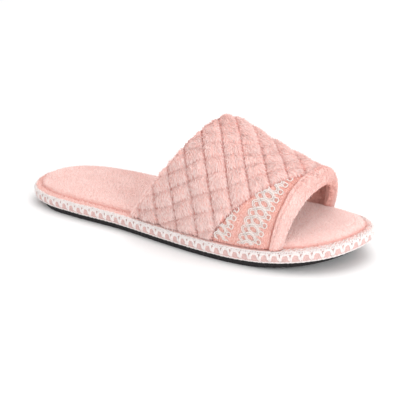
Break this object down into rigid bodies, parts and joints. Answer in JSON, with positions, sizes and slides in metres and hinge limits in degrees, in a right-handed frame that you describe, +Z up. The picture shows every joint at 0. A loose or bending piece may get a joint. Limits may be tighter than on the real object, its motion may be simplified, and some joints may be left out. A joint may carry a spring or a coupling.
{
  "type": "scuff slipper",
  "caption": "Open-toe, open-back scuff slipper with a quilted plush vamp, a lace-trimmed side wedge, a padded insole and a stitched edge on a thin sole.",
  "frame": {"origin": "bottom centre of the slipper's bounding box, on the floor it stands on", "axes": "+X from the heel to the toe, +Z up, -Y to the outer side of the right foot"},
  "size_m": [0.258, 0.0916, 0.0792],
  "materials": {
    "outsole": "matt dark foam rubber with a fine tread",
    "edge_binding": "white crochet-like overlock yarn over pink fabric",
    "insole": "smooth short-pile plush",
    "upper": "quilted short-pile plush",
    "side_insert": "short brushed pile, salmon pink",
    "toe_binding": "short-pile plush roll",
    "lace_trim": "cream looped yarn lace"
  },
  "bodies": {
    "root": {"outsole": "outsole", "edge_binding": "edge_binding", "insole": "insole", "upper": "upper", "side_insert": "side_insert", "toe_binding": "toe_binding", "lace_trim_front": "lace_trim", "lace_trim_rear": "lace_trim"}
  },
  "joints": []
}
